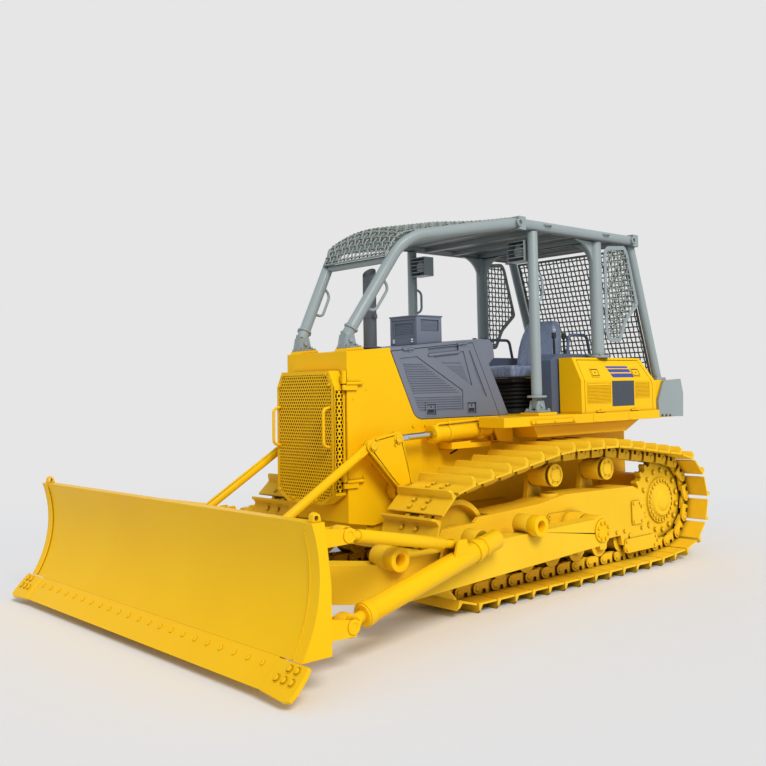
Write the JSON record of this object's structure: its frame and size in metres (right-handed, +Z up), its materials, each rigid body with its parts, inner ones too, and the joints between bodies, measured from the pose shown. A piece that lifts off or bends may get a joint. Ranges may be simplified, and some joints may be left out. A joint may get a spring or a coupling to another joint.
{
  "type": "bulldozer",
  "caption": "Track-laying bulldozer with a C-frame blade lifted through bell cranks, a louvred engine hood, fender boxes and an open canopy with wire screens.",
  "frame": {"origin": "on the ground under the middle of the machine's overall length and width", "axes": "+X forward towards the blade, +Y to the machine's left, +Z up"},
  "size_m": [5.8055, 3.972, 3.18],
  "materials": {
    "yellow_paint": "gloss",
    "canopy_paint": "satin",
    "slate_paint": "satin",
    "dark_trim": "matte",
    "seat_vinyl": "satin",
    "chrome": "polished",
    "dark_iron": "matte"
  },
  "bodies": {
    "chassis": {"track_left": "yellow_paint", "track_right": "yellow_paint", "sprockets": "yellow_paint", "idlers": "yellow_paint", "rollers": "yellow_paint", "track_frames": "yellow_paint", "main_frame": "yellow_paint", "engine_block": "dark_iron", "drawbar": "yellow_paint", "radiator_guard": "yellow_paint", "radiator_core": "dark_iron", "hood_top": "slate_paint", "exhaust_stack": "dark_iron", "intake_box": "slate_paint", "lower_panels": "yellow_paint", "deck": "yellow_paint", "dash_console": "dark_trim", "fender_boxes": "yellow_paint", "fuel_tank": "yellow_paint", "rear_plates": "canopy_paint", "seat_base": "dark_trim", "seat_cushion": "seat_vinyl", "seat_back": "seat_vinyl", "consoles": "dark_trim", "levers": "dark_trim", "canopy_posts": "canopy_paint", "canopy_roof": "canopy_paint", "front_sweeps": "canopy_paint", "front_mesh": "canopy_paint", "rear_sweeps": "canopy_paint", "rear_mesh": "canopy_paint", "quarter_guards": "canopy_paint", "work_lamps": "canopy_paint"},
    "blade_frame": {"c_frame": "yellow_paint", "strut_sockets": "yellow_paint", "blade": "yellow_paint", "cutting_edge": "yellow_paint", "push_struts": "yellow_paint", "tilt_braces": "yellow_paint"},
    "engine_door_left": {"engine_door_left": "slate_paint"},
    "engine_door_right": {"engine_door_right": "slate_paint"},
    "radiator_grille": {"radiator_grille": "yellow_paint"},
    "fender_door_left": {"fender_door_left": "yellow_paint"},
    "fender_door_right": {"fender_door_right": "yellow_paint"},
    "crank_left": {"crank_left": "yellow_paint"},
    "crank_right": {"crank_right": "yellow_paint"},
    "link_left": {"link_left": "yellow_paint"},
    "link_right": {"link_right": "yellow_paint"},
    "barrel_left": {"barrel_left": "yellow_paint"},
    "barrel_right": {"barrel_right": "yellow_paint"},
    "rod_left": {"rod_left": "chrome"},
    "rod_right": {"rod_right": "chrome"}
  },
  "joints": [
    {"name": "blade_lift", "type": "hinge", "parent": "chassis", "child": "blade_frame", "pos_m": [-0.69, 0, 0.48], "axis": [0, 1, 0], "range_deg": [-16, 7.5]},
    {"name": "crank_turn_left", "type": "hinge", "parent": "chassis", "child": "crank_left", "pos_m": [0.74, 0.54, 0.88], "axis": [0, 1, 0], "range_deg": [-39.76, 18.66]},
    {"name": "link_turn_left", "type": "hinge", "parent": "blade_frame", "child": "link_left", "pos_m": [2.163, 0.54, 0.62], "axis": [0, 1, 0], "range_deg": [-12.46, 5.87]},
    {"name": "barrel_turn_left", "type": "hinge", "parent": "chassis", "child": "barrel_left", "pos_m": [-0.336, 0.54, 1.342], "axis": [0, 1, 0], "range_deg": [-0.431, 0.229]},
    {"name": "rod_slide_left", "type": "slide", "parent": "barrel_left", "child": "rod_left", "axis": [0.9993, 0, -0.0363], "range_m": [-0.2896, 0.136]},
    {"name": "crank_turn_right", "type": "hinge", "parent": "chassis", "child": "crank_right", "pos_m": [0.74, -0.54, 0.88], "axis": [0, 1, 0], "range_deg": [-39.76, 18.66]},
    {"name": "link_turn_right", "type": "hinge", "parent": "blade_frame", "child": "link_right", "pos_m": [2.163, -0.54, 0.62], "axis": [0, 1, 0], "range_deg": [-12.46, 5.87]},
    {"name": "barrel_turn_right", "type": "hinge", "parent": "chassis", "child": "barrel_right", "pos_m": [-0.336, -0.54, 1.342], "axis": [0, 1, 0], "range_deg": [-0.431, 0.229]},
    {"name": "rod_slide_right", "type": "slide", "parent": "barrel_right", "child": "rod_right", "axis": [0.9993, 0, -0.0363], "range_m": [-0.2896, 0.136]},
    {"name": "engine_door_left_swing", "type": "hinge", "parent": "chassis", "child": "engine_door_left", "pos_m": [0.755, 0.408, 2.001], "axis": [0.9961, 0, -0.0883], "range_deg": [0, 85]},
    {"name": "engine_door_right_swing", "type": "hinge", "parent": "chassis", "child": "engine_door_right", "pos_m": [0.755, -0.408, 2.001], "axis": [-0.9961, 0, 0.0883], "range_deg": [0, 85]},
    {"name": "grille_swing", "type": "hinge", "parent": "chassis", "child": "radiator_grille", "pos_m": [1.245, 0.402, 1.3], "axis": [0, 0, 1], "range_deg": [0, 90]},
    {"name": "fender_door_left_swing", "type": "hinge", "parent": "chassis", "child": "fender_door_left", "pos_m": [-1.7, 0.898, 1.44415], "axis": [-1, 0, 0], "range_deg": [0, 90]},
    {"name": "fender_door_right_swing", "type": "hinge", "parent": "chassis", "child": "fender_door_right", "pos_m": [-1.7, -0.898, 1.44415], "axis": [1, 0, 0], "range_deg": [0, 90]}
  ],
  "couplings": [
    {"joint": "crank_turn_left", "follows": "blade_lift", "ratio": 2.4816},
    {"joint": "link_turn_left", "follows": "blade_lift", "ratio": 0.7756},
    {"joint": "barrel_turn_left", "follows": "blade_lift", "ratio": 0.0238},
    {"joint": "rod_slide_left", "follows": "blade_lift", "m_per_rad": 1.0351},
    {"joint": "crank_turn_right", "follows": "blade_lift", "ratio": 2.4816},
    {"joint": "link_turn_right", "follows": "blade_lift", "ratio": 0.7756},
    {"joint": "barrel_turn_right", "follows": "blade_lift", "ratio": 0.0238},
    {"joint": "rod_slide_right", "follows": "blade_lift", "m_per_rad": 1.0351}
  ]
}
